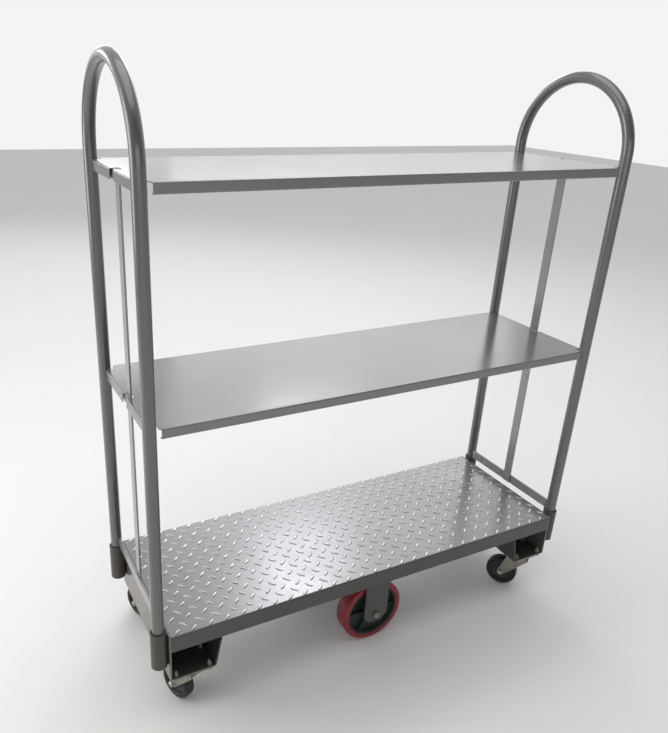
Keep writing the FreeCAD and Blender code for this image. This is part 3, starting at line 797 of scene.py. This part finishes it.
def caster_fasteners():
    """Hexagon bolts up through each caster plate, with nuts on the channel's foot."""
    bolts, nuts = bmesh.new(), bmesh.new()
    pitch_x, pitch_y, radius, flats = 0.092, 0.066, 0.004, 0.013
    head = 0.005
    for name in CASTERS:
        low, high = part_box("caster_plate_" + name)
        foot = high.z + CHANNEL_WALL
        for x in (-pitch_x / 2, pitch_x / 2):
            for y in (-pitch_y / 2, pitch_y / 2):
                at = Matrix.Translation(((low.x + high.x) / 2 + x, (low.y + high.y) / 2 + y, 0))
                down = Matrix.Rotation(math.pi, 4, "X")
                under = at @ Matrix.Translation((0, 0, high.z - CASTER_PLATE_WALL))
                hexagon(bolts, flats, head, under @ down)
                lathe(bolts, [(0, high.z - 0.0055), (radius, high.z - 0.0055), (radius, foot),
                              (0, foot)], at, 20)
                thread(bolts, radius, foot, foot + 0.0155, at)
                hexagon(nuts, flats, 0.0065, at @ Matrix.Translation((0, 0, foot)))
    piece("plate_bolts", bolts, "chassis", "zinc", ["caster_bolts"])
    piece("plate_nuts", nuts, "chassis", "zinc", ["caster_nuts"])


# ---- middle wheels ----

def middle_wheel(side, sign):
    """Tread, ribbed core and axle bolt of one fixed wheel."""
    low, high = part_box("middle_tyre_" + side)
    body = "middle_wheel_" + side
    radius, half = (high.z - low.z) / 2, (high.y - low.y) / 2
    core, rim = 0.086, 0.079
    centre = Vector((0, (low.y + high.y) / 2, radius))
    spin = Matrix.Translation(centre) @ Matrix.Rotation(-math.pi / 2, 4, "X")
    tread = [(core, -half + 0.0015), (core + 0.002, -half + 0.0003), (radius - 0.008, -half)]
    tread += [(p.x, -p.y) for p in arc((radius - 0.008, half - 0.008), 0.008, 88, 6, 9)]
    crown = [(radius, -half * 0.4)]
    profile = tread + crown + [(r, -y) for r, y in (tread + crown)[::-1]]
    tyre = bmesh.new()
    lathe(tyre, profile, spin, 144)
    piece("tread_" + side, tyre, body, "red", ["middle_tyre_" + side])
    hub = 0.033
    flank = [(0.0064, hub), (0.024, hub), (0.027, hub - 0.003), (0.029, 0.0065), (0.034, 0.004),
             (0.070, 0.004), (0.0765, 0.0075), (rim, half - 0.004), (rim + 0.0015, half - 0.0016),
             (core - 0.0005, half - 0.0012), (core, half - 0.002)]
    shape = bmesh.new()
    lathe(shape, flank + [(r, -y) for r, y in flank[::-1]], spin, 120)
    for i in range(6):
        turn = spin @ Matrix.Rotation(math.tau * i / 6, 4, "Z")
        for up in (-1, 1):
            rings = []
            for x, deep, thick in ((0.0255, 0.022, 0.0042), (0.05, 0.0175, 0.0036),
                                   (0.0785, 0.017, 0.0042)):
                rings.append([turn @ Vector((x, y * thick, up * z)) for y, z in
                              ((-1, 0.003), (1, 0.003), (0.7, deep), (-0.7, deep))])
            stack(shape, rings)
    piece("hub_" + side, shape, body, "core", ["middle_core_" + side], bevel=0.0006)
    grip = MIDDLE_HUB_LONG + 2 * HANGER_WALL
    outer = Vector((0, sign * (abs(centre.y) + grip / 2), radius))
    lie = Matrix.Translation(outer) @ Matrix.Rotation(sign * math.pi / 2, 4, "X")
    axle_bolt("middle_bolt_" + side, "middle_axle_" + side, lie, grip, 0.00635, 0.019, 0.008,
              0.010, "chassis", "zinc")


def hanger(side, place):
    """Plate with clipped lower corners that carries one end of a middle axle."""
    node = "wheel_hanger_%s_%s" % (side, place)
    low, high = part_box(node)
    clip = 0.020
    corners = [(low.x, high.z), (low.x, low.z + clip), (low.x + clip, low.z),
               (high.x - clip, low.z), (high.x, low.z + clip), (high.x, high.z)]
    outline = rounded(corners, [0, 0.006, 0.006, 0.006, 0.006, 0], 4, closed=True)
    shape = bmesh.new()
    # the outline's X and Y are the trolley's X and Z, so its depth runs along -Y
    prism(shape, outline, -high.y, -low.y, facing((0, 0, 0), (1, 0, 0), (0, 0, 1)))
    piece("plate_" + node, shape, "chassis", "chassis", [node], bevel=0.0009)


# ---- studio ----

# brightness of the sky in front and behind, and how much of it is left overhead
FRONT_LIGHT, BACK_LIGHT, TOP_SHARE = 0.16, 0.9, 0.8
WARM = (1, 0.94, 0.88)


def studio():
    """Pale floor under a soft sky that is bright behind the trolley and dim above and in front."""
    size = 14
    mesh = bpy.data.meshes.new("floor")
    mesh.from_pydata([(-size, -size, 0), (size, -size, 0), (size, size, 0), (-size, size, 0)], [],
                     [(0, 1, 2, 3)])
    mesh.materials.append(FINISH["floor"])
    floor = bpy.data.objects.new("floor", mesh)
    bpy.context.scene.collection.objects.link(floor)
    world = bpy.data.worlds.new("studio")
    world.use_nodes = True
    tree = world.node_tree
    split = tree.nodes.new("ShaderNodeSeparateXYZ")
    tree.links.new(tree.nodes.new("ShaderNodeTexCoord").outputs["Generated"], split.inputs[0])

    def fade(axis, low, high, start, end):
        node = tree.nodes.new("ShaderNodeMapRange")
        for socket, value in (("From Min", low), ("From Max", high), ("To Min", start),
                              ("To Max", end)):
            node.inputs[socket].default_value = value
        tree.links.new(split.outputs[axis], node.inputs["Value"])
        return node.outputs["Result"]

    product = tree.nodes.new("ShaderNodeMath")
    product.operation = "MULTIPLY"
    tree.links.new(fade("Y", -0.8, 0.3, FRONT_LIGHT, BACK_LIGHT), product.inputs[0])
    tree.links.new(fade("Z", 0.15, 0.85, 1, TOP_SHARE), product.inputs[1])
    background = tree.nodes["Background"]
    background.inputs["Color"].default_value = (1, 1, 1, 1)
    tree.links.new(product.outputs[0], background.inputs["Strength"])
    bpy.context.scene.world = world
    bpy.context.scene.view_settings.view_transform = "Standard"


def softbox(name, place, target, width, height, power, colour=(1, 1, 1)):
    """Rectangular lamp aimed at a point, unseen by the camera. Its power is in watts."""
    light = bpy.data.lights.new(name, "AREA")
    light.shape, light.size, light.size_y = "RECTANGLE", width, height
    light.energy, light.color = power, colour
    lamp = bpy.data.objects.new(name, light)
    lamp.location = place
    lamp.rotation_euler = (Vector(target) - Vector(place)).to_track_quat("-Z", "Y").to_euler()
    bpy.context.scene.collection.objects.link(lamp)
    lamp.visible_camera = False


def camera():
    """Camera at standing height beside the left end, turned a little about its own axis."""
    yaw, pitch, roll = 0.49155, 0.40581, 0.041936
    ahead = Vector((math.sin(yaw) * math.cos(pitch), math.cos(yaw) * math.cos(pitch),
                    -math.sin(pitch)))
    level = Vector((math.cos(yaw), -math.sin(yaw), 0))
    upright = level.cross(ahead)
    right = level * math.cos(roll) + upright * math.sin(roll)
    up = upright * math.cos(roll) - level * math.sin(roll)
    data = bpy.data.cameras.new("camera")
    data.lens, data.sensor_width = 35.012, 36
    data.shift_x, data.shift_y = 0.0623, 0.0182
    view = bpy.data.objects.new("camera", data)
    turn = Matrix((right, up, -ahead)).transposed().to_4x4()
    view.matrix_world = Matrix.Translation((-1.06437, -1.56228, 1.59399)) @ turn
    bpy.context.scene.collection.objects.link(view)
    bpy.context.scene.camera = view


def lights():
    """Soft lamps above, glare from behind for the deck and its lugs, and fill at left and front."""
    softbox("overhead", (-0.4, -0.2, 4.2), (-0.3, -0.2, 0), 3.4, 3.4, 46)
    softbox("ceiling_panel", (2.4, 3.9, 3.1), (0, 0, 0.5), 3.4, 1.9, 26)
    softbox("lamp", (1.3, 2.5, 2.85), (-0.2, -0.1, 0.3), 0.7, 0.7, 9)
    softbox("window", (0.35, 5.9, 2.75), (-0.1, 0, 0.3), 1.4, 0.8, 13)
    softbox("side", (-3.2, 0.9, 1.5), (-0.6, 0, 0.6), 1.6, 2.0, 32, WARM)
    softbox("window_left", (-2.7, 5.6, 2.8), (-0.6, 0, 0.9), 1.6, 1.2, 24)
    softbox("front_panel", (-1.6, -6.0, 1.9), (-0.2, 0, 1.0), 6.0, 2.6, 50)


def build():
    """All pieces of the trolley. The order fixes the random draws."""
    random.seed(7)
    deck()
    for side, sign in SIDES.items():
        side_rail(side, sign)
        middle_wheel(side, sign)
        for place in ("outer", "inner"):
            hanger(side, place)
    for end, sign in ENDS.items():
        end_plate(end)
        caster_channel(end, sign)
        handle(end)
        for side in SIDES:
            socket(end, side, sign)
        for level in ("low", "middle", "upper"):
            flat_bar("crossbar_%s_%s" % (level, end))
        flat_bar("centre_strip_" + end)
        end_welds(end, sign)
    for node in ("shelf_middle", "shelf_upper"):
        shelf(node)
    for name in CASTERS:
        caster_plate(name)
        caster_fork(name)
        caster_wheel(name)
    caster_fasteners()


build()
studio()
camera()
lights()
